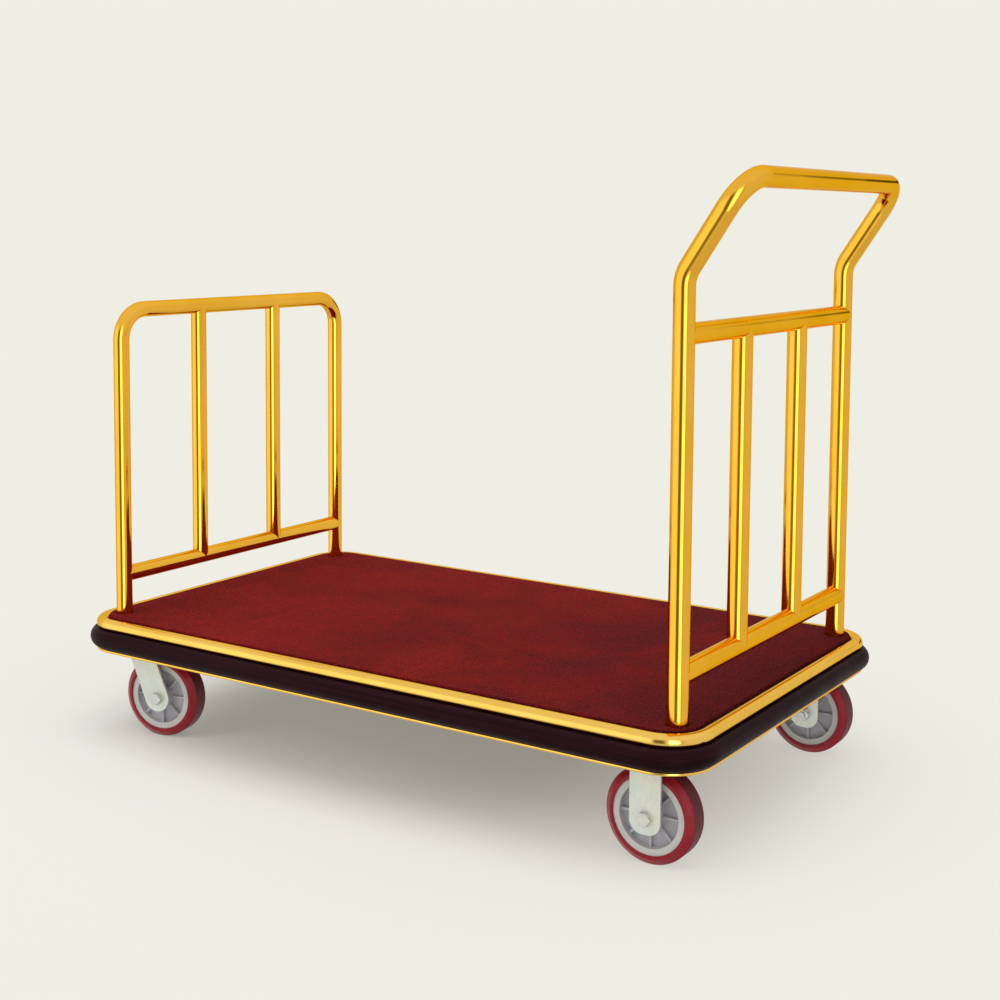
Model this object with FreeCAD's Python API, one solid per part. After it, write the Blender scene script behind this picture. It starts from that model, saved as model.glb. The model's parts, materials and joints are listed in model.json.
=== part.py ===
"""Hotel luggage cart: a carpeted platform between two tube hoops, on four casters.

Millimetres, +Z up. The floor is Z = 0, +X points to the push handle, and Y = 0 is the centre line.
X = 0 is the middle of the whole cart's length, which the handle carries a little past the deck.
The cart is pushed towards -X, so "front" is the low hoop's end and "left" is the -Y side.
"""

import FreeCAD, Part
import math
import os

# Hoops
hoop_spacing = 980.0  # front hoop plane to handle hoop plane
post_spacing = 524.0  # left post axis to right post axis
bar_spacing = 182.0  # between the two upright bars of a hoop
front_tube_diameter = 25.0
handle_tube_diameter = 28.0
hoop_tube_wall = 1.5
lower_rail_height = 61.0  # heights of tube axes above the carpet
front_top_height = 480.0
front_corner_radius = 48.0
handle_rail_height = 487.0
handle_kink_height = 559.5
handle_bar_height = 680.0
handle_reach = 80.0  # handle bar axis beyond the posts
handle_kink_radius = 42.0
handle_corner_radius = 46.0

# Deck
end_margin = 25.5  # hoop plane to the end of the carpet
side_margin = 33.7  # post axis to the side of the carpet
deck_corner_radius = 44.0
board_thickness = 18.0
carpet_thickness = 6.0
post_hole_clearance = 0.5

# Edge: a slotted trim tube, the frame's web that it is pushed onto, the bumper and the lip under it
trim_diameter = 19.0
trim_wall = 1.5
trim_drop = 1.5  # trim top below the carpet top
trim_gap = 0.3
trim_slot_clearance = 0.3
web_thickness = 3.0
web_drop = 23.8  # web below the board
web_in_trim = 6.5  # web above the trim tube's lowest point
flange_width = 28.0
bumper_thickness = 18.0
bumper_foot = 8.0  # flat width under the bumper
bumper_rise = 2.6  # its crest above its back edge
bumper_crest = 1.0  # crest beyond the foot's outer edge
bumper_shoulder = 5.0  # flat step behind the crest, out from the web
bumper_dip = 0.6  # the step below the crest
lip_height = 4.9
lip_inset = 10.0  # lip edge behind the bumper's face
lip_width = 14.0
lip_round = 2.0  # depth of the lip's rounded edge

# Steel under the board
cross_plate_thickness = 5.0
cross_plate_margin = 5.0  # past the caster plates
cross_member_width = 40.0
cross_member_height = 20.0
cross_member_wall = 2.0
cross_member_pitch = 200.0
foot_edge_gap = 2.8  # post foot to the rounded corner of the board
foot_inward = 50.0  # post axis to the foot's edges that face the middle
foot_thickness = 5.0
foot_screw_inset = 12.0

# Casters
wheel_diameter = 127.0
tread_width = 36.5
crown_room = 30.0  # wheel top to the top of the caster plate
post_nut_gap = 0.5  # handle post to the caster plate's outer nuts
front_caster_inset = 43.0  # front hoop plane to the swivel axis
rear_caster_inset = 33.0  # handle hoop plane to the rigid casters' axle
swivel_offset = 35.0
front_caster_turn = 12.0  # degrees that the front casters stand turned, as a pushed cart leaves them
plate_length = 96.0
plate_width = 80.0
plate_thickness = 5.0
plate_corner = 16.0
plate_bolts_long = 70.0
plate_bolts_wide = 56.0
fork_side_gap = 5.25  # tread to fork leg
fork_thickness = 4.0
crown_thickness = 5.5
crown_diameter = 60.0
race_thickness = 3.0
race_gap = 3.0
ball_circle = 44.0
ball_diameter = 6.0
ball_count = 16
kingpin_diameter = 12.0
kingpin_head_diameter = 20.0
kingpin_head_height = 6.0
swivel_leg_top = 44.0
swivel_leg_end = 42.0
swivel_leg_shift = 2.0  # middle of the leg's top beyond the swivel axis
rigid_leg_width = 44.0
rigid_leg_below_axle = 21.0
rigid_leg_corner = 18.0

# Wheels
axle_diameter = 10.0
sleeve_diameter = 16.0
bush_diameter = 24.0
hub_diameter = 34.0
hub_side_gap = 2.5  # hub end to fork leg
rim_outer_radius = 51.0
rim_inner_radius = 42.0
rim_half_width = 16.5
web_half_width = 6.0
rib_count = 8
rib_thickness = 3.5
rib_half_width = 11.0
shoulder_radial = 8.0
shoulder_axial = 6.5

# Fasteners
hex_face_share = 0.95  # round face of a hex head over its width across flats
plate_bolt_diameter = 8.0
plate_bolt_flats = 13.0
plate_bolt_head = 5.3
plate_nut_height = 6.5
plate_bolt_past_nut = 2.5
axle_head_flats = 17.0
axle_head_height = 6.5
axle_nut_height = 8.0
screw_diameter = 4.4
screw_head_diameter = 9.0
screw_head_height = 2.8
board_screw_depth = 13.0
bumper_screw_depth = 9.0
foot_screw_depth = 15.0
side_screw_pitch = 190.0
side_screw_count = 5
end_screw_pitch = 150.0
end_screw_count = 3
bumper_screw_height = 11.0  # above the web's lower edge
board_screw_pitch = 150.0
board_screw_count = 5
board_screw_inset = 8.0  # in from the side of the board
hole_clearance = 0.25
running_clearance = 0.05
pocket_clearance = 1.0

# Worked-out places
corner_reach = math.hypot(deck_corner_radius - end_margin, deck_corner_radius - side_margin)
foot_outward = deck_corner_radius - corner_reach - foot_edge_gap
deck_half_length = hoop_spacing / 2 + end_margin
deck_half_width = post_spacing / 2 + side_margin
trim_line = trim_gap + trim_diameter / 2  # distances out from the edge of the carpet
web_inner = trim_line - web_thickness / 2
web_outer = trim_line + web_thickness / 2
flange_inner = web_inner - flange_width
bumper_face = web_outer + bumper_thickness
handle_end = hoop_spacing / 2 + handle_reach + handle_tube_diameter / 2
deck_x = -(handle_end - (deck_half_length + bumper_face)) / 2
front_x = deck_x - hoop_spacing / 2
handle_x = deck_x + hoop_spacing / 2

axle_z = wheel_diameter / 2
plate_top = wheel_diameter + crown_room
plate_bottom = plate_top - plate_thickness
board_bottom = plate_top + cross_plate_thickness
board_top = board_bottom + board_thickness
carpet_top = board_top + carpet_thickness
trim_z = carpet_top - trim_drop - trim_diameter / 2
web_bottom = board_bottom - web_drop
web_top = trim_z - trim_diameter / 2 + web_in_trim
crown_top = plate_bottom - race_thickness - race_gap
crown_bottom = crown_top - crown_thickness

nut_corner = plate_bolt_flats / math.sqrt(3)
outer_nut_y = post_spacing / 2 + handle_tube_diameter / 2 + post_nut_gap + nut_corner
caster_y = outer_nut_y - plate_bolts_wide / 2
swivel_x = front_x + front_caster_inset
front_axle_x = swivel_x + swivel_offset
rear_axle_x = handle_x - rear_caster_inset
leg_inner = tread_width / 2 + fork_side_gap
leg_outer = leg_inner + fork_thickness
hub_half = leg_inner - hub_side_gap

SIDES = (("left", -1), ("right", 1))
X_AXIS = FreeCAD.Vector(1, 0, 0)
Y_AXIS = FreeCAD.Vector(0, 1, 0)
Z_AXIS = FreeCAD.Vector(0, 0, 1)


def vec(x, y, z):
    return FreeCAD.Vector(x, y, z)


def box(low, high):
    size = [b - a for a, b in zip(low, high)]
    return Part.makeBox(*size, vec(*low))


def rod(diameter, start, end):
    """A solid cylinder from one point to another."""
    along = vec(*end) - vec(*start)
    return Part.makeCylinder(diameter / 2, along.Length, vec(*start), along)


def pipe(diameter, wall, start, end):
    return rod(diameter, start, end).cut(rod(diameter - 2 * wall, start, end))


def rounded_plate(half_x, half_y, z_low, z_high, corner, centre=(0.0, 0.0)):
    """A flat plate with its four upright edges rounded."""
    cx, cy = centre
    plate = box((cx - half_x, cy - half_y, z_low), (cx + half_x, cy + half_y, z_high))
    upright = [e for e in plate.Edges if abs(e.tangentAt(e.FirstParameter).z) > 0.99]
    return plate.makeFillet(corner, upright)


def hexagon(flats, height, base, axis):
    """A hexagonal bolt head or nut blank, bevelled at 30 degrees round its outer face."""
    radius = flats / math.sqrt(3)
    points = [
        vec(radius * math.cos(math.radians(60 * i)), radius * math.sin(math.radians(60 * i)), 0)
        for i in range(7)
    ]
    blank = Part.Face(Part.makePolygon(points)).extrude(vec(0, 0, height))
    face_radius = hex_face_share * flats / 2
    blank = blank.common(Part.makeCone(face_radius + height * math.sqrt(3), face_radius, height))
    blank.Placement = FreeCAD.Placement(vec(*base), FreeCAD.Rotation(Z_AXIS, axis))
    return blank


def join(pieces):
    return pieces[0].multiFuse(pieces[1:]).removeSplitter()


def group(pieces):
    """Identical separate solids that share one node."""
    return Part.makeCompound(pieces)


def save(name, shape):
    shape.exportStep("parts/" + name + ".step")


def rounded_path(points, radii):
    """A wire of straight runs joined by tangent arcs, one radius for each inner point."""
    corners = [vec(*p) for p in points]
    edges = []
    start = corners[0]
    for before, corner, after, radius in zip(corners, corners[1:], corners[2:], radii):
        back = (before - corner).normalize()
        ahead = (after - corner).normalize()
        half_angle = back.getAngle(ahead) / 2
        reach = radius / math.tan(half_angle)
        middle = (back + ahead).normalize()
        apex = corner + middle * (radius / math.sin(half_angle) - radius)
        entry = corner + back * reach
        leave = corner + ahead * reach
        edges.append(Part.LineSegment(start, entry).toShape())
        edges.append(Part.Arc(entry, apex, leave).toShape())
        start = leave
    edges.append(Part.LineSegment(start, corners[-1]).toShape())
    return Part.Wire(edges)


def sweep(path, diameter):
    start = path.Edges[0]
    circle = Part.makeCircle(
        diameter / 2, start.valueAt(start.FirstParameter), start.tangentAt(start.FirstParameter)
    )
    return path.makePipeShell([Part.Wire(circle)], True, False)


def bent_tube(points, radii, diameter):
    path = rounded_path(points, radii)
    return sweep(path, diameter).cut(sweep(path, diameter - 2 * hoop_tube_wall))


def deck_ring(section):
    """Runs a section, drawn as (distance out from the carpet edge, height), round the deck."""
    straight_x = deck_half_length - deck_corner_radius
    straight_y = deck_half_width - deck_corner_radius
    side = section.copy()
    side.translate(vec(0, deck_half_width, 0))
    corner = side.copy()
    corner.translate(vec(straight_x, 0, 0))
    pivot = vec(straight_x, straight_y, 0)
    end = corner.copy()
    end.rotate(pivot, Z_AXIS, -90)
    quarter = [
        side.extrude(vec(straight_x, 0, 0)),
        corner.revolve(pivot, Z_AXIS, -90),
        end.extrude(vec(0, -straight_y, 0)),
    ]
    pieces = []
    for piece in quarter:
        other = piece.mirror(vec(0, 0, 0), X_AXIS)
        pieces += [piece, other]
        pieces += [p.mirror(vec(0, 0, 0), Y_AXIS) for p in (piece, other)]
    ring = join(pieces)
    ring.translate(vec(deck_x, 0, 0))
    return ring


def section_point(out, height):
    return vec(0, out, height)


def section_face(edges):
    return Part.Face(Part.Wire(edges))


def section_polygon(points):
    corners = [section_point(*p) for p in points]
    return Part.Face(Part.makePolygon(corners + corners[:1]))


# ---------------------------------------------------------------- hoops
def rail(x, height, diameter, post_diameter):
    """A cross rail whose ends are coped to the posts."""
    z = carpet_top + height
    half = post_spacing / 2
    blank = pipe(diameter, hoop_tube_wall, (x, -half, z), (x, half, z))
    for y in (-half, half):
        blank = blank.cut(rod(post_diameter, (x, y, z - diameter), (x, y, z + diameter)))
    return blank


def upright_bars(x, low, high, diameter):
    """The two bars between a hoop's rails, coped to both."""
    bars = []
    for _, side in SIDES:
        y = side * bar_spacing / 2
        bar = pipe(diameter, hoop_tube_wall, (x, y, carpet_top + low), (x, y, carpet_top + high))
        for height in (low, high):
            z = carpet_top + height
            bar = bar.cut(rod(diameter, (x, y - diameter, z), (x, y + diameter, z)))
        bars.append(bar)
    return group(bars)


def front_hoop():
    half = post_spacing / 2
    top = carpet_top + front_top_height
    points = [
        (front_x, -half, board_bottom),
        (front_x, -half, top),
        (front_x, half, top),
        (front_x, half, board_bottom),
    ]
    return bent_tube(points, [front_corner_radius] * 2, front_tube_diameter)


def handle_hoop():
    half = post_spacing / 2
    kink = carpet_top + handle_kink_height
    top = carpet_top + handle_bar_height
    reach_x = handle_x + handle_reach
    points = [
        (handle_x, -half, board_bottom),
        (handle_x, -half, kink),
        (reach_x, -half, top),
        (reach_x, half, top),
        (handle_x, half, kink),
        (handle_x, half, board_bottom),
    ]
    radii = [handle_kink_radius, handle_corner_radius, handle_corner_radius, handle_kink_radius]
    return bent_tube(points, radii, handle_tube_diameter)


def posts():
    """The place and tube diameter of the four post feet."""
    for x, diameter in ((front_x, front_tube_diameter), (handle_x, handle_tube_diameter)):
        for _, side in SIDES:
            yield x, side * post_spacing / 2, diameter


def foot_plate(x, y, clearance=0.0):
    """A post's foot: a rounded plate that reaches further towards the middle of the deck."""
    shift = (foot_inward - foot_outward) / 2
    half = (foot_inward + foot_outward) / 2 + clearance
    centre = (x + math.copysign(shift, deck_x - x), y - math.copysign(shift, y))
    return rounded_plate(
        half, half, board_top - foot_thickness, board_top, foot_outward + clearance, centre
    )


def foot_screw_places(x, y):
    """Two screws along the foot's edge that faces the middle of the deck."""
    screw_x = x + math.copysign(foot_inward - foot_screw_inset, deck_x - x)
    for across in (foot_inward - foot_screw_inset, foot_screw_inset - foot_outward):
        yield screw_x, y - math.copysign(across, y)


def foot_screw(x, y):
    """A countersunk wood screw, flush with the top of the board."""
    head = screw_head_height
    cone = Part.makeCone(screw_diameter / 2, screw_head_diameter / 2, head, vec(x, y, board_top - head))
    return cone.fuse(rod(screw_diameter, (x, y, board_top - foot_screw_depth), (x, y, board_top - head)))


def post_feet():
    feet = []
    for x, y, diameter in posts():
        foot = foot_plate(x, y).cut(rod(diameter, (x, y, board_bottom), (x, y, carpet_top)))
        for place in foot_screw_places(x, y):
            foot = foot.cut(foot_screw(*place))
        feet.append(foot)
    return group(feet)


def foot_screws():
    return group([foot_screw(*place) for x, y, _ in posts() for place in foot_screw_places(x, y)])


# ---------------------------------------------------------------- deck edge
def trim_tube():
    centre = section_point(trim_line, trim_z)
    outer = Part.Face(Part.Wire(Part.makeCircle(trim_diameter / 2, centre, X_AXIS)))
    inner = Part.Face(Part.Wire(Part.makeCircle(trim_diameter / 2 - trim_wall, centre, X_AXIS)))
    low = trim_z - trim_diameter
    slot = section_polygon(
        [
            (web_inner - trim_slot_clearance, low),
            (web_outer + trim_slot_clearance, low),
            (web_outer + trim_slot_clearance, trim_z),
            (web_inner - trim_slot_clearance, trim_z),
        ]
    )
    return deck_ring(outer.cut(inner).cut(slot).Faces[0])


def edge_frame():
    """The frame's rolled edge: a flange under the board and a web that carries trim and bumper."""
    frame = deck_ring(
        section_polygon(
            [
                (flange_inner, plate_top),
                (web_inner, plate_top),
                (web_inner, web_bottom),
                (web_outer, web_bottom),
                (web_outer, web_top),
                (web_inner, web_top),
                (web_inner, board_bottom),
                (flange_inner, board_bottom),
            ]
        )
    )
    for screw in board_screw_list() + bumper_screw_list() + plate_bolt_holes():
        frame = frame.cut(screw)
    return frame


def bumper_strip():
    """The rubber bumper: a flat back, a small foot, and a rounded face."""
    low = web_bottom
    inner_top = trim_z - trim_diameter / 2 - trim_gap
    outer_top = inner_top + bumper_rise
    face_start = web_outer + bumper_foot
    back = section_point(web_outer, low)
    foot = section_point(face_start, low)
    face = section_point(bumper_face, (low + outer_top) / 2)
    crest = section_point(face_start + bumper_crest, outer_top)
    shoulder = section_point(web_outer + bumper_shoulder, outer_top - bumper_dip)
    top = section_point(web_outer, inner_top)
    edges = [
        Part.LineSegment(back, foot).toShape(),
        Part.Arc(foot, face, crest).toShape(),
        Part.LineSegment(crest, shoulder).toShape(),
        Part.LineSegment(shoulder, top).toShape(),
        Part.LineSegment(top, back).toShape(),
    ]
    strip = deck_ring(section_face(edges))
    for screw in bumper_screw_list():
        strip = strip.cut(screw)
    return strip


def lower_lip():
    """The trim under the bumper, a flat strip with a rounded outer edge."""
    low = web_bottom - lip_height
    outer = bumper_face - lip_inset
    round_start = outer - lip_round
    inner = outer - lip_width
    a = section_point(inner, low)
    b = section_point(round_start, low)
    c = section_point(outer, low + lip_height / 2)
    d = section_point(round_start, web_bottom)
    e = section_point(inner, web_bottom)
    edges = [
        Part.LineSegment(a, b).toShape(),
        Part.Arc(b, c, d).toShape(),
        Part.LineSegment(d, e).toShape(),
        Part.LineSegment(e, a).toShape(),
    ]
    return deck_ring(section_face(edges))


def spread(pitch, count):
    """Places spaced evenly about zero."""
    return [pitch * (i - (count - 1) / 2) for i in range(count)]


def bumper_screw_list():
    """Screws from inside the web into the bumper, on all four sides."""
    z = web_bottom + bumper_screw_height
    tip = web_outer + bumper_screw_depth
    screws = []
    for _, side in SIDES:
        seat_y = side * (deck_half_width + web_inner)
        tip_y = side * (deck_half_width + tip)
        for x in spread(side_screw_pitch, side_screw_count):
            screws.append(pan_screw((deck_x + x, seat_y, z), (deck_x + x, tip_y, z)))
        seat_x = deck_x + side * (deck_half_length + web_inner)
        tip_x = deck_x + side * (deck_half_length + tip)
        for y in spread(end_screw_pitch, end_screw_count):
            screws.append(pan_screw((seat_x, y, z), (tip_x, y, z)))
    return screws


def board_screw_list():
    """Screws up through the flange into the board."""
    low = plate_top
    high = board_bottom + board_screw_depth
    screws = []
    for _, side in SIDES:
        y = side * (deck_half_width - board_screw_inset)
        for x in spread(board_screw_pitch, board_screw_count):
            screws.append(pan_screw((deck_x + x, y, low), (deck_x + x, y, high)))
        x = deck_x + side * (deck_half_length - board_screw_inset)
        for y in spread(end_screw_pitch, 2):
            screws.append(pan_screw((x, y, low), (x, y, high)))
    return screws


def pan_screw(seat, tip):
    """A pan-head screw: its head's underside lies at seat, its shank ends at tip."""
    along = (vec(*tip) - vec(*seat)).normalize()
    head_top = vec(*seat) - along * screw_head_height
    head = rod(screw_head_diameter, tuple(head_top), seat)
    return head.fuse(rod(screw_diameter, seat, tip)).removeSplitter()


# ---------------------------------------------------------------- board, carpet and cross steel
def cross_span(x_low, x_high, z_low, z_high):
    """The room between the flanges, from one X to another."""
    half_x = deck_half_length + flange_inner
    half_y = deck_half_width + flange_inner
    corner = deck_corner_radius + flange_inner
    inside = rounded_plate(half_x, half_y, z_low, z_high, corner, (deck_x, 0))
    return inside.common(box((x_low, -half_y, z_low), (x_high, half_y, z_high)))


def cross_plate(x_low, x_high):
    """A steel plate between the flanges, which the inner caster bolts and the posts bear on."""
    plate = cross_span(x_low, x_high, plate_top, board_bottom)
    for hole in plate_bolt_holes():
        plate = plate.cut(hole)
    return plate


def front_cross_plate():
    return cross_plate(front_x - end_margin, swivel_x + plate_length / 2 + cross_plate_margin)


def rear_cross_plate():
    return cross_plate(rear_axle_x - plate_length / 2 - cross_plate_margin, handle_x + end_margin)


def cross_members():
    """Three rectangular tubes across the deck, level with the flange's top."""
    members = []
    half_y = deck_half_width + flange_inner
    low = board_bottom - cross_member_height
    wall = cross_member_wall
    for x in spread(cross_member_pitch, 3):
        x_low = deck_x + x - cross_member_width / 2
        x_high = x_low + cross_member_width
        outer = box((x_low, -half_y, low), (x_high, half_y, board_bottom))
        inner = box((x_low + wall, -half_y, low + wall), (x_high - wall, half_y, board_bottom - wall))
        members.append(outer.cut(inner))
    return group(members)


def post_holes(z_low, z_high):
    for x, y, diameter in posts():
        yield rod(diameter + 2 * post_hole_clearance, (x, y, z_low), (x, y, z_high))


def deck_board():
    board = rounded_plate(
        deck_half_length, deck_half_width, board_bottom, board_top, deck_corner_radius, (deck_x, 0)
    )
    for hole in post_holes(board_bottom, board_top):
        board = board.cut(hole)
    for x, y, _ in posts():
        board = board.cut(foot_plate(x, y, hole_clearance))
        for place in foot_screw_places(x, y):
            board = board.cut(foot_screw(*place))
    pocket = plate_nut_height + plate_bolt_past_nut + pocket_clearance
    pocket_diameter = 2 * (nut_corner + pocket_clearance)
    for x, y in plate_bolt_places():
        board = board.cut(rod(pocket_diameter, (x, y, board_bottom), (x, y, board_bottom + pocket)))
    for screw in board_screw_list():
        board = board.cut(screw)
    return board


def carpet():
    pile = rounded_plate(
        deck_half_length, deck_half_width, board_top, carpet_top, deck_corner_radius, (deck_x, 0)
    )
    for hole in post_holes(board_top, carpet_top):
        pile = pile.cut(hole)
    return pile


# ---------------------------------------------------------------- caster plates and their bolts
def caster_places():
    """Plate centres: two swivel casters in front, two rigid ones under the handle."""
    for x in (swivel_x, rear_axle_x):
        for _, side in SIDES:
            yield x, side * caster_y


def plate_bolt_places():
    for x, y in caster_places():
        for dx in (-plate_bolts_long / 2, plate_bolts_long / 2):
            for dy in (-plate_bolts_wide / 2, plate_bolts_wide / 2):
                yield x + dx, y + dy


def plate_bolt_holes():
    top = board_bottom
    diameter = plate_bolt_diameter + 2 * hole_clearance
    return [rod(diameter, (x, y, plate_bottom), (x, y, top)) for x, y in plate_bolt_places()]


def plate_bolts():
    bolts = []
    tip = board_bottom + plate_nut_height + plate_bolt_past_nut
    for x, y in plate_bolt_places():
        head = hexagon(plate_bolt_flats, plate_bolt_head, (x, y, plate_bottom), vec(0, 0, -1))
        shank = rod(plate_bolt_diameter, (x, y, plate_bottom), (x, y, tip))
        bolts.append(head.fuse(shank).removeSplitter())
    return group(bolts)


def plate_nuts():
    nuts = []
    for x, y in plate_bolt_places():
        nut = hexagon(plate_bolt_flats, plate_nut_height, (x, y, board_bottom), Z_AXIS)
        shank = rod(plate_bolt_diameter, (x, y, plate_bottom), (x, y, board_top))
        nuts.append(nut.cut(shank))
    return group(nuts)


def caster_plate(x, y):
    plate = rounded_plate(
        plate_length / 2, plate_width / 2, plate_bottom, plate_top, plate_corner, (x, y)
    )
    for hole in plate_bolt_holes():
        plate = plate.cut(hole)
    return plate


def swivel_plates():
    plates = []
    for _, side in SIDES:
        y = side * caster_y
        pin = rod(kingpin_diameter, (swivel_x, y, plate_bottom), (swivel_x, y, plate_top))
        plates.append(caster_plate(swivel_x, y).cut(pin))
    return group(plates)


# ---------------------------------------------------------------- swivel head
def ball_track(y):
    """The groove that the balls run in, cut into the race above and the crown below."""
    z = crown_top + race_gap / 2
    bore = ball_diameter / 2 + running_clearance
    return Part.makeTorus(ball_circle / 2, bore, vec(swivel_x, y, z))


def upper_races():
    races = []
    for _, side in SIDES:
        y = side * caster_y
        low = plate_bottom - race_thickness
        race = rod(crown_diameter, (swivel_x, y, low), (swivel_x, y, plate_bottom))
        race = race.cut(rod(kingpin_diameter, (swivel_x, y, low), (swivel_x, y, plate_bottom)))
        races.append(race.cut(ball_track(y)))
    return group(races)


def swivel_balls():
    balls = []
    z = crown_top + race_gap / 2
    for _, side in SIDES:
        for i in range(ball_count):
            turn = 2 * math.pi * i / ball_count
            x = swivel_x + ball_circle / 2 * math.cos(turn)
            y = side * caster_y + ball_circle / 2 * math.sin(turn)
            balls.append(Part.makeSphere(ball_diameter / 2, vec(x, y, z)))
    return group(balls)


def swivelled(shape, side):
    """Turns a front caster's piece about its swivel axis, to where it stands."""
    shape.rotate(vec(swivel_x, side * caster_y, 0), Z_AXIS, front_caster_turn)
    return shape


def kingpins():
    pins = []
    head_top = crown_bottom - hole_clearance
    head_low = head_top - kingpin_head_height
    for _, side in SIDES:
        y = side * caster_y
        head = rod(kingpin_head_diameter, (swivel_x, y, head_low), (swivel_x, y, head_top))
        shank = rod(kingpin_diameter, (swivel_x, y, head_top), (swivel_x, y, plate_top))
        pins.append(head.fuse(shank).removeSplitter())
    return group(pins)


def axle_hole(x, y):
    diameter = axle_diameter + 2 * hole_clearance
    return rod(diameter, (x, y - leg_outer, axle_z), (x, y + leg_outer, axle_z))


def leg(outline, y, side):
    """A fork leg: its side outline given thickness."""
    inner = y + side * leg_inner
    face = Part.Face(outline)
    face.translate(vec(0, inner, 0))
    return face.extrude(vec(0, side * fork_thickness, 0))


def swivel_leg_outline():
    """The raked leg in the XZ plane, from the crown to its rounded end about the axle."""
    radius = swivel_leg_end / 2
    top_middle = vec(swivel_x + swivel_leg_shift, 0, crown_top)
    end = vec(front_axle_x, 0, axle_z)
    down = (end - top_middle).normalize()
    across = vec(-down.z, 0, down.x)
    front_top = top_middle - X_AXIS * (swivel_leg_top / 2)
    back_top = top_middle + X_AXIS * (swivel_leg_top / 2)
    front_end = end - across * radius
    back_end = end + across * radius
    return Part.Wire(
        [
            Part.LineSegment(front_top, front_end).toShape(),
            Part.Arc(front_end, end + down * radius, back_end).toShape(),
            Part.LineSegment(back_end, back_top).toShape(),
            Part.LineSegment(back_top, front_top).toShape(),
        ]
    )


def swivel_fork(side):
    """The fork that turns under the plate: a crown with a ball groove, and two raked legs."""
    y = side * caster_y
    across = box(
        (swivel_x + swivel_leg_shift - swivel_leg_top / 2, y - leg_outer, crown_bottom),
        (swivel_x + swivel_leg_shift + swivel_leg_top / 2, y + leg_outer, crown_top),
    )
    disc = rod(crown_diameter, (swivel_x, y, crown_bottom), (swivel_x, y, crown_top))
    limit = box(
        (swivel_x - plate_length, y - leg_outer, crown_bottom),
        (swivel_x + plate_length, y + leg_outer, crown_top),
    )
    outline = swivel_leg_outline()
    fork = join([across, disc.common(limit), leg(outline, y, -1), leg(outline, y, 1)])
    pin = kingpin_diameter + 2 * running_clearance
    fork = fork.cut(rod(pin, (swivel_x, y, crown_bottom), (swivel_x, y, crown_top)))
    return fork.cut(ball_track(y)).cut(axle_hole(front_axle_x, y))


def rigid_fork(side):
    """A fixed caster frame: its bolted plate and two straight legs in one pressing."""
    y = side * caster_y
    low = axle_z - rigid_leg_below_axle
    half = rigid_leg_width / 2
    pieces = [caster_plate(rear_axle_x, y)]
    for leg_side in (-1, 1):
        edges = sorted((y + leg_side * leg_inner, y + leg_side * leg_outer))
        blank = box((rear_axle_x - half, edges[0], low), (rear_axle_x + half, edges[1], plate_bottom))
        ends = [
            e for e in blank.Edges if e.BoundBox.YLength > fork_thickness / 2 and e.CenterOfMass.z < axle_z
        ]
        pieces.append(blank.makeFillet(rigid_leg_corner, ends))
    return join(pieces).cut(axle_hole(rear_axle_x, y))


# ---------------------------------------------------------------- axles and wheels
def axle_bolt(x, side):
    """Head on the cart's outer side."""
    y = side * caster_y
    out = y + side * leg_outer
    tip = y - side * (leg_outer + axle_nut_height + plate_bolt_past_nut)
    head = hexagon(axle_head_flats, axle_head_height, (x, out, axle_z), vec(0, side, 0))
    return head.fuse(rod(axle_diameter, (x, out, axle_z), (x, tip, axle_z))).removeSplitter()


def axle_nut(x, side):
    y = side * caster_y
    seat = y - side * leg_outer
    nut = hexagon(axle_head_flats, axle_nut_height, (x, seat, axle_z), vec(0, -side, 0))
    return nut.cut(rod(axle_diameter, (x, y, axle_z), (x, seat - side * 2 * axle_nut_height, axle_z)))


def axle_sleeve(x, side):
    """The spacer tube that the fork legs clamp and the wheel turns on."""
    y = side * caster_y
    ends = ((x, y - leg_inner, axle_z), (x, y + leg_inner, axle_z))
    return rod(sleeve_diameter, *ends).cut(rod(axle_diameter, *ends))


def wheel_bush(x, side):
    y = side * caster_y
    ends = ((x, y - hub_half, axle_z), (x, y + hub_half, axle_z))
    bore = sleeve_diameter + 2 * running_clearance
    return rod(bush_diameter, *ends).cut(rod(bore, *ends))


def turned(profile, x, y):
    """A closed (radius, offset) outline turned about a wheel's axle."""
    points = [vec(x, y + offset, axle_z + radius) for radius, offset in profile]
    face = Part.Face(Part.makePolygon(points + points[:1]))
    return face.revolve(vec(x, y, axle_z), Y_AXIS, 360)


def tyre(x, side):
    """The polyurethane tread, with a wide chamfer at each shoulder."""
    outer = wheel_diameter / 2
    half = tread_width / 2
    profile = [
        (rim_outer_radius, -half),
        (outer - shoulder_radial, -half),
        (outer, -half + shoulder_axial),
        (outer, half - shoulder_axial),
        (outer - shoulder_radial, half),
        (rim_outer_radius, half),
    ]
    return turned(profile, x, side * caster_y)


def wheel_core(x, side):
    """The moulded core: a hub, a thin web with ribs on both faces, and the rim."""
    y = side * caster_y
    bore = bush_diameter / 2
    hub = hub_diameter / 2
    profile = [
        (bore, -hub_half),
        (hub, -hub_half),
        (hub, -web_half_width),
        (rim_inner_radius, -web_half_width),
        (rim_inner_radius, -rim_half_width),
        (rim_outer_radius, -rim_half_width),
        (rim_outer_radius, rim_half_width),
        (rim_inner_radius, rim_half_width),
        (rim_inner_radius, web_half_width),
        (hub, web_half_width),
        (hub, hub_half),
        (bore, hub_half),
    ]
    core = turned(profile, x, y)
    ribs = []
    for i in range(rib_count):
        rib = box(
            (x - rib_thickness / 2, y - rib_half_width, axle_z + (bore + hub) / 2),
            (x + rib_thickness / 2, y + rib_half_width, axle_z + (rim_inner_radius + rim_outer_radius) / 2),
        )
        rib.rotate(vec(x, y, axle_z), Y_AXIS, 360 * i / rib_count)
        ribs.append(rib)
    return join([core] + ribs)


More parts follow.
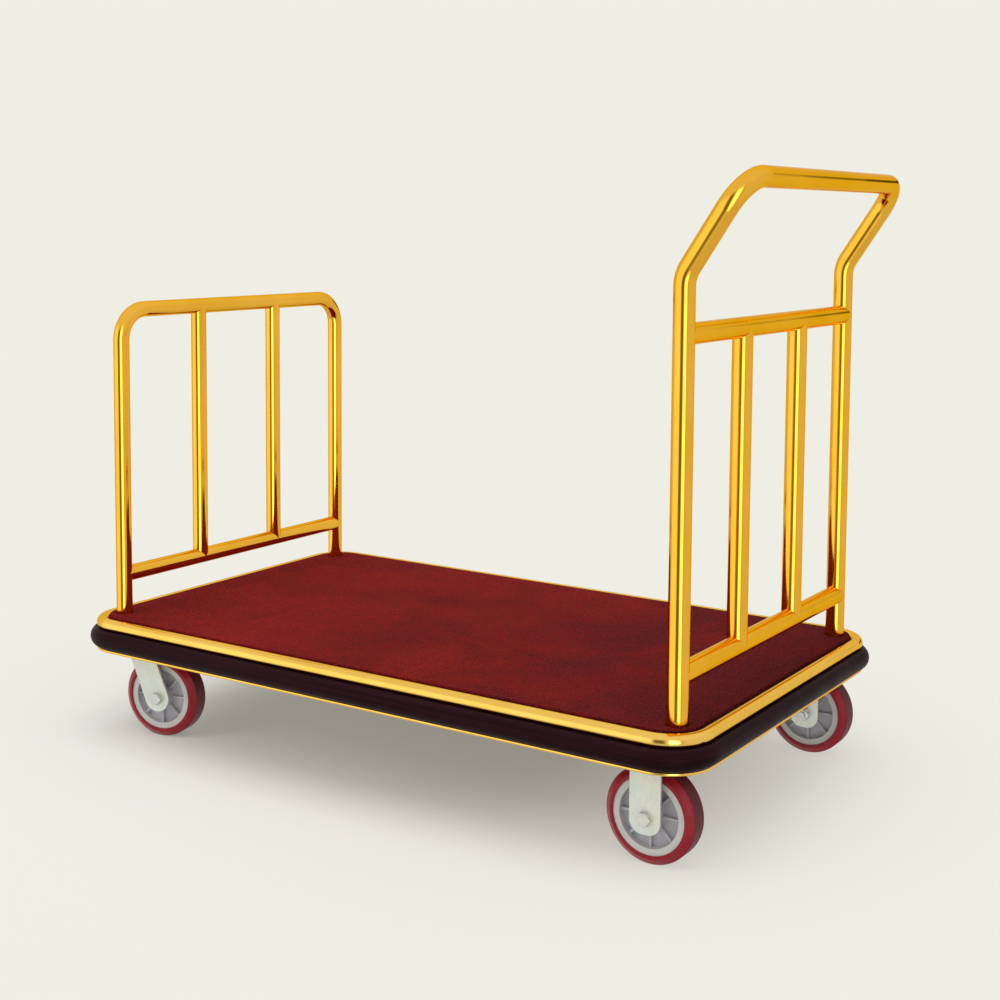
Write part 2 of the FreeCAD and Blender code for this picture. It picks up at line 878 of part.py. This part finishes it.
# ---------------------------------------------------------------- write every node
def save_hoops():
    save("front_hoop", front_hoop())
    save("front_lower_rail", rail(front_x, lower_rail_height, front_tube_diameter, front_tube_diameter))
    save("front_bars", upright_bars(front_x, lower_rail_height, front_top_height, front_tube_diameter))
    save("handle_hoop", handle_hoop())
    for name, height in (("lower", lower_rail_height), ("upper", handle_rail_height)):
        save("handle_" + name + "_rail", rail(handle_x, height, handle_tube_diameter, handle_tube_diameter))
    save("handle_bars", upright_bars(handle_x, lower_rail_height, handle_rail_height, handle_tube_diameter))
    save("post_feet", post_feet())
    save("foot_screws", foot_screws())


def save_deck():
    save("trim_tube", trim_tube())
    save("edge_frame", edge_frame())
    save("bumper_strip", bumper_strip())
    save("bumper_screws", group(bumper_screw_list()))
    save("lower_lip", lower_lip())
    save("front_cross_plate", front_cross_plate())
    save("rear_cross_plate", rear_cross_plate())
    save("cross_members", cross_members())
    save("deck_board", deck_board())
    save("board_screws", group(board_screw_list()))
    save("carpet", carpet())


def save_casters():
    save("plate_bolts", plate_bolts())
    save("plate_nuts", plate_nuts())
    save("swivel_plates", swivel_plates())
    save("upper_races", upper_races())
    save("swivel_balls", swivel_balls())
    save("kingpins", kingpins())
    for label, side in SIDES:
        save("swivel_fork_" + label, swivelled(swivel_fork(side), side))
        save("rigid_fork_" + label, rigid_fork(side))


def save_wheels():
    pieces = (
        ("axle_bolt", axle_bolt),
        ("axle_nut", axle_nut),
        ("axle_sleeve", axle_sleeve),
        ("wheel_bush", wheel_bush),
        ("wheel_core", wheel_core),
        ("tyre", tyre),
    )
    for label, side in SIDES:
        for name, make in pieces:
            save(name + "_front_" + label, swivelled(make(front_axle_x, side), side))
            save(name + "_rear_" + label, make(rear_axle_x, side))


os.makedirs("parts", exist_ok=True)
save_hoops()
save_deck()
save_casters()
save_wheels()
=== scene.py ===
"""Looks of the hotel luggage cart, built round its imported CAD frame.

Metres, +Z up, the floor at Z = 0 and the push handle towards +X.
"""

import json
import math

import bmesh
import bpy
from mathutils import Matrix, Vector, noise


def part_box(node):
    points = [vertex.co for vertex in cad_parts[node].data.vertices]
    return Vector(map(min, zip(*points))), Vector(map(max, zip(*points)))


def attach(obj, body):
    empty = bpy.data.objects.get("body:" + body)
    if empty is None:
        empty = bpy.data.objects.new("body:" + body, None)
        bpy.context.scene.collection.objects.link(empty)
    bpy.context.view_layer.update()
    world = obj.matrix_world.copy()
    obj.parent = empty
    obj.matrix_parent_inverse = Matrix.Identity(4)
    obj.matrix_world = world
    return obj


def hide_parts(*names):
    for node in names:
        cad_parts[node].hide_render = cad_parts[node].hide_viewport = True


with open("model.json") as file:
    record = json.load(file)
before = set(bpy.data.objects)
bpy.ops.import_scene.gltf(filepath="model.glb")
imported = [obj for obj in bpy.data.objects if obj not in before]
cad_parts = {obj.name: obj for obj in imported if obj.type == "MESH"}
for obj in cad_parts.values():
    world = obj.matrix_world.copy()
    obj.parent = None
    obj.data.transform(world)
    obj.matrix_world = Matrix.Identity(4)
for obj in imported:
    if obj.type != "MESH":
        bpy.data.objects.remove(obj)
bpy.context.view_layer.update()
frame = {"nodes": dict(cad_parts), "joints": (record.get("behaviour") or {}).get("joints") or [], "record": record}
nodes = frame["nodes"]
record = frame["record"]

# The camera: its place, its turn, tilt and roll in radians, its lens in millimetres and its shift
CAMERA_PLACE = (1.3405, -1.9895, 0.8124)
CAMERA_TURN = -0.583
CAMERA_TILT = 0.083
CAMERA_ROLL = 0.007
CAMERA_LENS = 56.712
CAMERA_SHIFT = -0.15

# The backdrop, and the floor: its own colour, the least share of the backdrop's glow in it, and the
# distances from a point under the deck between which that share grows until only the glow is left
BACKDROP = (0.8632, 0.855, 0.7835)
FLOOR_PAINT = (0.695, 0.690, 0.655)
FLOOR_GLOW = 0.24
FLOOR_CENTRE = (-0.15, 0.0, 0.0)
FLOOR_FADE = (0.25, 1.05)
FLOOR_RADIUS = 60.0

# The room that the metal mirrors: brightness round the walls by azimuth in degrees, from the camera's
# side of the cart and positive to its right, the ceiling's and the ground's brightness, and the slopes
# of a small black flag on one wall
WALLS = [
    (-180, 0.85), (-112, 0.90), (-96, 1.40), (-46, 1.45), (-35, 0.26), (-17, 0.18), (-6, 1.4), (3, 4.8),
    (16, 2.8), (25, 0.64), (36, 0.90), (110, 0.90), (180, 0.85),
]
PEAK = 6.0
CEILING = 0.98
GROUND = 0.80
FLAG_AZIMUTH = ((122, 130), (150, 142))
FLAG_HEIGHT = ((0.05, 0.10), (0.26, 0.18))

# Two shades each of the tubes' gold and of the deck's trim, whose gold is made paler as a painted reflection of
# the bright room
TUBE_GOLD = ((0.78, 0.405, 0.034), (0.86, 0.465, 0.055))
TRIM_GOLD_WITH_PAINTED_REFLECTION = ((0.80, 0.48, 0.085), (0.88, 0.56, 0.13))

# Sizes that the paint follows: the wheels' own, and the thickness of two plies of the board
TYRE_HALF_WIDTH = 0.01825
RIM_INNER = 0.042
PLY_PAIR = 0.004

# The carpet's grid, the radius of its rolled rim, and how near its top plane a point counts as on it
PILE_CELL = 0.005
PILE_ROLL = 0.0024
NEAR = 1e-4


# ---------------------------------------------------------------- shader building
class Paint:
    """A node tree under construction, with short ways to add its nodes."""

    def __init__(self, tree, coordinates):
        self.tree = tree
        self.place = self.add("ShaderNodeTexCoord").outputs[coordinates]

    def add(self, kind, **settings):
        node = self.tree.nodes.new(kind)
        for key, value in settings.items():
            setattr(node, key, value)
        return node

    def put(self, socket, value):
        """Links an output to a socket, or sets the socket to a number or a colour."""
        if hasattr(value, "is_linked"):
            self.tree.links.new(value, socket)
        elif isinstance(value, tuple) and socket.type == "RGBA":
            socket.default_value = (*value, 1.0)
        else:
            socket.default_value = value

    def mapped(self, scale=(1.0, 1.0, 1.0), turn=0.0):
        node = self.add("ShaderNodeMapping")
        self.put(node.inputs["Scale"], scale)
        self.put(node.inputs["Rotation"], (0.0, 0.0, turn))
        self.put(node.inputs["Vector"], self.place)
        return node.outputs["Vector"]

    def axis(self, name, vector=None):
        node = self.add("ShaderNodeSeparateXYZ")
        self.put(node.inputs["Vector"], vector or self.place)
        return node.outputs[name]

    def noise(self, scale, detail=4.0, rough=0.55, vector=None, distortion=0.0):
        node = self.add("ShaderNodeTexNoise")
        settings = {"Scale": scale, "Detail": detail, "Roughness": rough, "Distortion": distortion}
        for key, value in settings.items():
            self.put(node.inputs[key], value)
        self.put(node.inputs["Vector"], vector or self.place)
        return node.outputs["Fac"]

    def cells(self, scale, output="Distance"):
        node = self.add("ShaderNodeTexVoronoi")
        self.put(node.inputs["Scale"], scale)
        self.put(node.inputs["Vector"], self.place)
        return node.outputs[output]

    def math(self, operation, first, second=0.0):
        node = self.add("ShaderNodeMath", operation=operation)
        self.put(node.inputs[0], first)
        self.put(node.inputs[1], second)
        return node.outputs["Value"]

    def vector(self, operation, first, second=None, output="Vector"):
        node = self.add("ShaderNodeVectorMath", operation=operation)
        self.put(node.inputs[0], first)
        if second is not None:
            self.put(node.inputs[1], second)
        return node.outputs[output]

    def span(self, factor, start, end, low, high, smooth=False):
        """Maps start..end to low..high, and stops at both ends."""
        node = self.add("ShaderNodeMapRange")
        if smooth:
            node.interpolation_type = "SMOOTHSTEP"
        keys = ("From Min", "From Max", "To Min", "To Max")
        for key, value in zip(keys, (start, end, low, high)):
            self.put(node.inputs[key], value)
        self.put(node.inputs["Value"], factor)
        return node.outputs["Result"]

    def window(self, factor, rise, fall):
        """1 between two slopes and 0 outside them. A slope is (outer end, inner end)."""
        rising = self.span(factor, *rise, 0.0, 1.0, smooth=True)
        falling = self.span(factor, *fall, 0.0, 1.0, smooth=True)
        return self.math("MULTIPLY", rising, falling)

    def ramp(self, factor, *stops):
        """Blends colours along a factor. A stop is (position, (r, g, b)) or (position, grey)."""
        node = self.add("ShaderNodeValToRGB")
        elements = node.color_ramp.elements
        while len(elements) < len(stops):
            elements.new(1.0)
        for element, (position, colour) in zip(elements, stops):
            element.position = position
            element.color = (*colour, 1.0) if isinstance(colour, tuple) else (colour, colour, colour, 1.0)
        self.put(node.inputs["Fac"], factor)
        return node.outputs["Color"]

    def mix(self, factor, first, second, kind="MIX"):
        node = self.add("ShaderNodeMix", data_type="RGBA", blend_type=kind)
        self.put(node.inputs[0], factor)
        self.put(node.inputs[6], first)
        self.put(node.inputs[7], second)
        return node.outputs[2]


class Material(Paint):
    """A Principled material whose colour, roughness and bump come from nodes."""

    def __init__(self, name, **constants):
        self.made = bpy.data.materials.new(name)
        self.made.use_nodes = True
        self.shader = self.made.node_tree.nodes["Principled BSDF"]
        super().__init__(self.made.node_tree, "Object")
        for key, value in constants.items():
            self.put(self.shader.inputs[key.replace("_", " ")], value)

    def colour(self, output):
        self.put(self.shader.inputs["Base Color"], output)

    def rough(self, output):
        self.put(self.shader.inputs["Roughness"], output)

    def bump(self, height, distance, edge=0.0):
        """Height in shares of distance, in metres; edge rounds the sharp edges by that radius."""
        node = self.add("ShaderNodeBump")
        self.put(node.inputs["Strength"], 1.0)
        self.put(node.inputs["Distance"], distance)
        self.put(node.inputs["Height"], height)
        if edge:
            rounded = self.add("ShaderNodeBevel", samples=4)
            self.put(rounded.inputs["Radius"], edge)
            self.put(node.inputs["Normal"], rounded.outputs["Normal"])
        self.put(self.shader.inputs["Normal"], node.outputs["Normal"])


# ---------------------------------------------------------------- materials
def gold(name, handled=0.0, tint=TUBE_GOLD):
    """Mirror-polished steel with a gold coating: haze, polishing lines and a drawn tube's ripple."""
    paint = Material(name, Metallic=1.0, Specular_Tint=(0.95, 0.70, 0.35))
    drift = paint.noise(6.0, 3.0)
    paint.colour(paint.ramp(drift, (0.3, tint[0]), (0.7, tint[1])))
    haze = paint.noise(34.0, 2.0, 0.5)
    smudge = paint.span(paint.noise(15.0, 3.0, 0.5, distortion=1.2), 0.52, 0.68, 0.0, handled)
    paint.rough(paint.math("ADD", paint.span(haze, 0.35, 0.7, 0.075, 0.115), smudge))
    ripple = paint.noise(7.0, 1.0, 0.3)
    scratch = paint.noise(420.0, 2.0, 0.5, paint.mapped((1.0, 1.0, 0.12)))
    paint.bump(paint.math("ADD", ripple, paint.math("MULTIPLY", scratch, 0.0012)), 0.0012)
    return paint.made


def carpet_red():
    """Short cut pile: tufts about 3 mm across with the tuft tops lightened as a painted highlight, darker in
    patches, and painted shade towards the handle.
    """
    paint = Material("carpet_pile", Specular_IOR_Level=0.03, Sheen_Weight=0.03, Sheen_Roughness=0.5)
    paint.put(paint.shader.inputs["Sheen Tint"], (0.80, 0.16, 0.12))
    mottle = paint.noise(5.5, 6.0, 0.66, distortion=0.6)
    # Painted shade: the pile's colour darkens towards the handle end of the deck.
    painted_shade_towards_handle = paint.span(paint.axis("X"), -0.25, 0.50, 0.08, -0.20)
    broad = paint.math("ADD", mottle, painted_shade_towards_handle)
    patch = paint.ramp(
        broad, (0.26, (0.078, 0.007, 0.009)), (0.50, (0.185, 0.009, 0.007)), (0.72, (0.270, 0.013, 0.009))
    )
    nap = paint.noise(75.0, 5.0, 0.7)
    shaded = paint.mix(paint.span(nap, 0.34, 0.66, 0.55, 0.0), patch, (0.065, 0.006, 0.010))
    # Painted highlight: the colour is lighter at each tuft's centre, the raised top of the pile.
    tuft = paint.cells(300.0)
    painted_highlight_tips = paint.mix(paint.span(tuft, 0.0, 0.6, 0.36, 0.0), shaded, (0.38, 0.028, 0.018))
    speck = paint.noise(210.0, 3.0, 0.6)
    paint.colour(paint.mix(paint.span(speck, 0.38, 0.62, 0.45, 0.0), painted_highlight_tips, (0.045, 0.005, 0.006)))
    paint.rough(paint.span(nap, 0.3, 0.7, 0.80, 0.97))
    pile = paint.math("SUBTRACT", paint.math("MULTIPLY", nap, 1.6), tuft)
    paint.bump(pile, 0.0016)
    return paint.made


def bumper_black():
    """Extruded rubber: faint drawn lines along its length, lighter in colour along them as a painted highlight,
    and dusty scuffs.
    """
    paint = Material("bumper_rubber", Specular_IOR_Level=0.04)
    drawn = paint.noise(1.0, 3.0, 0.5, paint.mapped((3.0, 3.0, 240.0)))
    scuff = paint.noise(18.0, 6.0, 0.7)
    # Painted highlight: the base colour is lighter along the raised drawn lines.
    base = paint.ramp(drawn, (0.35, (0.0100, 0.0022, 0.0040)), (0.65, (0.020, 0.0045, 0.0075)))
    paint.colour(paint.mix(paint.span(scuff, 0.56, 0.80, 0.0, 0.30), base, (0.040, 0.022, 0.030)))
    paint.rough(paint.span(scuff, 0.3, 0.7, 0.36, 0.54))
    grain = paint.noise(1100.0, 2.0, 0.6)
    paint.bump(paint.math("ADD", drawn, paint.math("MULTIPLY", grain, 0.25)), 0.00035)
    return paint.made


def from_axle(paint, spin):
    """How far a point lies from the wheel's middle plane, and how far from its axle."""
    centre, axle = spin
    arm = paint.vector("SUBTRACT", paint.place, centre)
    offset = paint.math("ABSOLUTE", paint.vector("DOT_PRODUCT", arm, axle, "Value"))
    radius = paint.vector("LENGTH", paint.vector("CROSS_PRODUCT", arm, axle), output="Value")
    return offset, radius


def tread_red(name, spin, half_width):
    """Cast polyurethane: clean on its chamfers, darker and scuffed where it runs on the floor."""
    paint = Material(name, Specular_IOR_Level=0.18, Coat_Weight=0.03, Coat_Roughness=0.20)
    offset, _ = from_axle(paint, spin)
    worn = paint.span(offset, half_width * 0.60, half_width * 0.72, 1.0, 0.0, smooth=True)
    cloud = paint.noise(30.0, 4.0)
    grime = paint.noise(70.0, 6.0, 0.7)
    clean = paint.ramp(cloud, (0.3, (0.24, 0.007, 0.016)), (0.7, (0.34, 0.011, 0.024)))
    dark = paint.ramp(grime, (0.3, (0.070, 0.006, 0.008)), (0.7, (0.13, 0.010, 0.013)))
    paint.colour(paint.mix(worn, clean, dark))
    scuffed = paint.math("MULTIPLY", worn, 0.22)
    paint.rough(paint.math("ADD", paint.span(grime, 0.3, 0.7, 0.26, 0.38), scuffed))
    paint.bump(grime, 0.00030, edge=0.0012)
    return paint.made


def core_grey(name, spin, rim_inner):
    """Moulded polypropylene: a paler rim face, recesses darkened by painted shade, and a fine spark-eroded grain.
    """
    paint = Material(name, Specular_IOR_Level=0.40)
    _, radius = from_axle(paint, spin)
    rim = paint.span(radius, rim_inner - 0.0015, rim_inner + 0.0005, 0.0, 1.0)
    cloud = paint.noise(45.0, 5.0, 0.65)
    # Painted shade: the recess within the rim face is coloured darker than the face.
    recess_painted_shade = paint.ramp(cloud, (0.3, (0.44, 0.43, 0.48)), (0.7, (0.58, 0.56, 0.62)))
    face = paint.ramp(cloud, (0.3, (0.52, 0.52, 0.50)), (0.7, (0.62, 0.62, 0.59)))
    paint.colour(paint.mix(rim, recess_painted_shade, face))
    paint.rough(paint.span(cloud, 0.3, 0.7, 0.38, 0.52))
    paint.bump(paint.noise(1500.0, 2.0), 0.00012, edge=0.0012)
    return paint.made


def zinc(name, base, roughness, edge):
    """Zinc-plated steel: a rolled grain, a broken grey spangle and a trace of blue and straw."""
    paint = Material(name, Metallic=0.55, Specular_IOR_Level=0.30)
    tint = paint.ramp(
        paint.noise(26.0, 4.0, 0.6, distortion=0.8),
        (0.28, tuple(v * k for v, k in zip(base, (0.90, 0.94, 1.00)))),
        (0.50, base),
        (0.72, tuple(v * k for v, k in zip(base, (1.00, 0.98, 0.88)))),
    )
    spangle = paint.cells(240.0, "Color")
    paint.colour(paint.mix(0.10, tint, spangle, "MULTIPLY"))
    rolled = paint.noise(300.0, 3.0, 0.6, paint.mapped((1.0, 1.0, 0.10)))
    cloud = paint.noise(40.0, 5.0, 0.65)
    handled = paint.span(cloud, 0.3, 0.7, -0.06, 0.08)
    drawn = paint.span(rolled, 0.3, 0.7, -0.04, 0.05)
    paint.rough(paint.math("ADD", paint.math("ADD", handled, drawn), roughness))
    paint.bump(rolled, 0.00008, edge=edge)
    return paint.made


def powder_black():
    """Black powder coat with its orange-peel texture and a little dust."""
    paint = Material("frame_steel", Specular_IOR_Level=0.45)
    dust = paint.noise(22.0, 6.0, 0.7)
    paint.colour(paint.ramp(dust, (0.45, (0.014, 0.014, 0.015)), (0.80, (0.060, 0.058, 0.055))))
    paint.rough(paint.span(dust, 0.35, 0.75, 0.34, 0.58))
    paint.bump(paint.noise(650.0, 2.0, 0.5), 0.00022, edge=0.0006)
    return paint.made


def plywood():
    """Birch plywood: grain along the cart, and its plies as bands on the edge."""
    paint = Material("board_plywood", Specular_IOR_Level=0.30)
    grain = paint.noise(9.0, 6.0, 0.62, paint.mapped((0.6, 9.0, 9.0)), 1.2)
    fibre = paint.noise(160.0, 4.0, 0.6, paint.mapped((0.08, 1.0, 1.0)))
    face = paint.ramp(
        grain, (0.30, (0.42, 0.27, 0.14)), (0.55, (0.60, 0.43, 0.25)), (0.75, (0.50, 0.34, 0.18))
    )
    ply = paint.math("SINE", paint.math("MULTIPLY", paint.axis("Z"), 2 * math.pi / PLY_PAIR))
    banded = paint.mix(paint.span(ply, -0.4, 0.4, 0.0, 0.28), face, (0.26, 0.15, 0.07))
    paint.colour(paint.mix(paint.span(fibre, 0.35, 0.65, 0.25, 0.0), banded, (0.30, 0.18, 0.09)))
    paint.rough(paint.span(fibre, 0.3, 0.7, 0.55, 0.72))
    paint.bump(fibre, 0.00025)
    return paint.made


def turned_metal(name, low, high, roughness):
    """A machined metal: turning lines and light staining."""
    paint = Material(name, Metallic=1.0)
    stain = paint.noise(60.0, 5.0, 0.6)
    paint.colour(paint.ramp(stain, (0.3, low), (0.7, high)))
    lines = paint.noise(900.0, 2.0, 0.5, paint.mapped((0.05, 1.0, 0.05)))
    paint.rough(paint.math("ADD", paint.span(lines, 0.3, 0.7, -0.05, 0.08), roughness))
    paint.bump(lines, 0.00004)
    return paint.made


def make_materials():
    """Every material but the wheels', by its slot in the record."""
    return {
        "front_hoop_gold": gold("front_hoop_gold"),
        "handle_hoop_gold": gold("handle_hoop_gold", handled=0.07),
        # The trim's paler gold is a painted reflection.
        "edge_trim_gold": gold("edge_trim_gold", 0.05, TRIM_GOLD_WITH_PAINTED_REFLECTION),
        "frame_steel": powder_black(),
        "caster_zinc": zinc("caster_zinc", (0.68, 0.71, 0.65), 0.44, 0.0012),
        "fastener_zinc": zinc("fastener_zinc", (0.62, 0.63, 0.61), 0.36, 0.0005),
        "bearing_steel": turned_metal("bearing_steel", (0.50, 0.50, 0.51), (0.62, 0.62, 0.62), 0.22),
        "bush_bronze": turned_metal("bush_bronze", (0.50, 0.31, 0.13), (0.62, 0.42, 0.20), 0.36),
        "board_plywood": plywood(),
        "carpet_pile": carpet_red(),
        "bumper_rubber": bumper_black(),
    }


def paint_wheels():
    """Each wheel has its own two materials, as they are laid out about its own axle."""
    for joint in frame["joints"]:
        wheel = joint["child"]
        if not wheel.endswith("_wheel"):
            continue
        corner = wheel.removesuffix("_wheel")
        spin = (tuple(joint["pos_m"]), tuple(joint["axis"]))
        tyre = tread_red("tread_" + corner, spin, TYRE_HALF_WIDTH)
        core = core_grey("core_" + corner, spin, RIM_INNER)
        for node, material in (("tyre_" + corner, tyre), ("wheel_core_" + corner, core)):
            for place in nodes[node].material_slots:
                place.material = material


# ---------------------------------------------------------------- pieces
def new_piece(name, bm, material, body):
    """A mesh that moves with a body of the CAD model."""
    mesh = bpy.data.meshes.new(name)
    bm.to_mesh(mesh)
    bm.free()
    piece = bpy.data.objects.new(name, mesh)
    bpy.context.collection.objects.link(piece)
    mesh.materials.append(material)
    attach(piece, body)
    return piece


def top_rim(bm, top):
    """The edges where the top face meets the sides."""
    rim = []
    for edge in bm.edges:
        on_top = min(v.co.z for v in edge.verts) > top - NEAR
        slopes = {round(f.normal.z, 1) for f in edge.link_faces}
        if on_top and len(slopes) > 1:
            rim.append(edge)
    return rim


def cut_grid(bm, low, high):
    """Cuts the mesh into cells of even size along X and along Y."""
    for axis in range(2):
        count = round((high[axis] - low[axis]) / PILE_CELL)
        for i in range(1, count):
            point = Vector((0, 0, 0))
            point[axis] = low[axis] + (high[axis] - low[axis]) * i / count
            normal = Vector((0, 0, 0))
            normal[axis] = 1.0
            everything = bm.verts[:] + bm.edges[:] + bm.faces[:]
            bmesh.ops.bisect_plane(bm, geom=everything, plane_co=point, plane_no=normal)


def carpet_pile(material):
    """The carpet as laid: a rolled edge, holes that hug the posts, and an uneven pile."""
    low, high = (Vector(v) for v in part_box("carpet"))
    bm = bmesh.new()
    bm.from_mesh(nodes["carpet"].data)
    bmesh.ops.remove_doubles(bm, verts=bm.verts, dist=1e-6)
    bmesh.ops.dissolve_limit(bm, angle_limit=0.01, verts=bm.verts, edges=bm.edges)
    bmesh.ops.bevel(
        bm, geom=top_rim(bm, high.z), offset=PILE_ROLL, segments=3, profile=0.5, affect="EDGES"
    )
    cut_grid(bm, low, high)
    for vert in bm.verts:
        if vert.co.z < high.z - NEAR:
            continue
        place = vert.co * 1.0
        wave = noise.noise(place * 9.0) * 0.0005
        tuft = noise.noise(place * 330.0) * 0.00045
        vert.co.z += wave + tuft - 0.0004
    for face in bm.faces:
        face.smooth = True
    piece = new_piece("carpet_laid", bm, material, "cart")
    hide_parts("carpet")


# ---------------------------------------------------------------- studio
def studio_world():
    """A plain backdrop for the camera, soft light for the rest, and the studio's walls for the metal."""
    world = bpy.data.worlds.new("studio")
    world.use_nodes = True
    bpy.context.scene.world = world
    tree = world.node_tree
    tree.nodes.clear()
    paint = Paint(tree, "Generated")
    camera_azimuth = math.atan2(-math.cos(CAMERA_TURN), -math.sin(CAMERA_TURN))
    facing = paint.mapped(turn=-camera_azimuth)
    turn = paint.math("ARCTAN2", paint.axis("Y", facing), paint.axis("X", facing))
    height = paint.axis("Z", facing)
    around = paint.ramp(
        paint.span(turn, -math.pi, math.pi, 0.0, 1.0), *[(a / 360 + 0.5, v / PEAK) for a, v in WALLS]
    )
    wall = paint.math("MULTIPLY", around, PEAK)
    up = paint.span(height, 0.30, 0.62, 0.0, 1.0, smooth=True)
    down = paint.span(height, -0.30, -0.62, 0.0, 1.0, smooth=True)
    level = paint.mix(up, wall, (CEILING, CEILING, CEILING))
    level = paint.mix(down, level, (GROUND, GROUND, GROUND))
    across = paint.window(turn, *[tuple(math.radians(a) for a in slope) for slope in FLAG_AZIMUTH])
    flag = paint.math("MULTIPLY", across, paint.window(height, *FLAG_HEIGHT))
    seen = paint.mix(flag, level, (0.03, 0.03, 0.03))
    warm = paint.mix(1.0, seen, (1.0, 0.985, 0.93), "MULTIPLY")
    rays = paint.add("ShaderNodeLightPath").outputs
    soft = paint.mix(rays["Is Glossy Ray"], (0.62, 0.62, 0.60), warm)
    plain = paint.mix(rays["Is Camera Ray"], soft, BACKDROP)
    background = paint.add("ShaderNodeBackground")
    paint.put(background.inputs["Color"], plain)
    output = paint.add("ShaderNodeOutputWorld")
    paint.put(output.inputs["Surface"], background.outputs["Background"])


def softbox(name, place, target, size, power):
    """A soft rectangular light in watts, which the metal doesn't mirror."""
    light = bpy.data.lights.new(name, "AREA")
    light.shape = "RECTANGLE"
    light.size, light.size_y = size
    light.energy = power
    lamp = bpy.data.objects.new(name, light)
    bpy.context.collection.objects.link(lamp)
    lamp.location = place
    lamp.rotation_mode = "QUATERNION"
    lamp.rotation_quaternion = (Vector(target) - Vector(place)).to_track_quat("-Z", "Y")
    lamp.visible_glossy = False
    lamp.visible_camera = False


def studio_floor():
    """A pale floor that fades into the backdrop, so that no horizon shows."""
    bm = bmesh.new()
    bmesh.ops.create_circle(bm, cap_ends=True, segments=96, radius=FLOOR_RADIUS)
    mesh = bpy.data.meshes.new("floor")
    bm.to_mesh(mesh)
    bm.free()
    floor = bpy.data.objects.new("floor", mesh)
    bpy.context.collection.objects.link(floor)
    floor.visible_glossy = False
    material = bpy.data.materials.new("floor")
    material.use_nodes = True
    tree = material.node_tree
    tree.nodes.clear()
    paint = Paint(tree, "Object")
    away = paint.vector("DISTANCE", paint.place, FLOOR_CENTRE, "Value")
    diffuse = paint.add("ShaderNodeBsdfDiffuse")
    paint.put(diffuse.inputs["Color"], FLOOR_PAINT)
    glow = paint.add("ShaderNodeEmission")
    paint.put(glow.inputs["Color"], BACKDROP)
    mixed = paint.add("ShaderNodeMixShader")
    paint.put(mixed.inputs["Fac"], paint.span(away, *FLOOR_FADE, FLOOR_GLOW, 1.0, smooth=True))
    paint.put(mixed.inputs[1], diffuse.outputs["BSDF"])
    paint.put(mixed.inputs[2], glow.outputs["Emission"])
    output = paint.add("ShaderNodeOutputMaterial")
    paint.put(output.inputs["Surface"], mixed.outputs["Shader"])
    mesh.materials.append(material)


def aim_camera():
    """The photograph's view of the cart."""
    camera = bpy.data.cameras.new("camera")
    camera.lens = CAMERA_LENS
    camera.sensor_width = 36.0
    camera.shift_y = CAMERA_SHIFT
    ahead = Vector(
        (
            math.sin(CAMERA_TURN) * math.cos(CAMERA_TILT),
            math.cos(CAMERA_TURN) * math.cos(CAMERA_TILT),
            -math.sin(CAMERA_TILT),
        )
    )
    level = Vector((math.cos(CAMERA_TURN), -math.sin(CAMERA_TURN), 0.0))
    upright = level.cross(ahead)
    right = math.cos(CAMERA_ROLL) * level + math.sin(CAMERA_ROLL) * upright
    up = -math.sin(CAMERA_ROLL) * level + math.cos(CAMERA_ROLL) * upright
    turned = Matrix((right, up, -ahead)).transposed().to_4x4()
    holder = bpy.data.objects.new("camera", camera)
    bpy.context.collection.objects.link(holder)
    holder.matrix_world = Matrix.Translation(CAMERA_PLACE) @ turned
    bpy.context.scene.camera = holder


# ---------------------------------------------------------------- the whole scene
materials = make_materials()
for part in record["subparts"]:
    if part["material_slot"] in materials:
        for place in nodes[part["node"]].material_slots:
            place.material = materials[part["material_slot"]]
paint_wheels()

carpet_pile(materials["carpet_pile"])

studio_world()
studio_floor()
softbox("overhead", (-0.1, -0.5, 3.0), (0.0, 0.0, 0.0), (3.4, 2.8), 62.0)
softbox("key", (-1.6, -2.6, 2.2), (0.0, 0.0, 0.35), (1.6, 1.6), 24.0)
aim_camera()
bpy.context.scene.view_settings.view_transform = "Standard"
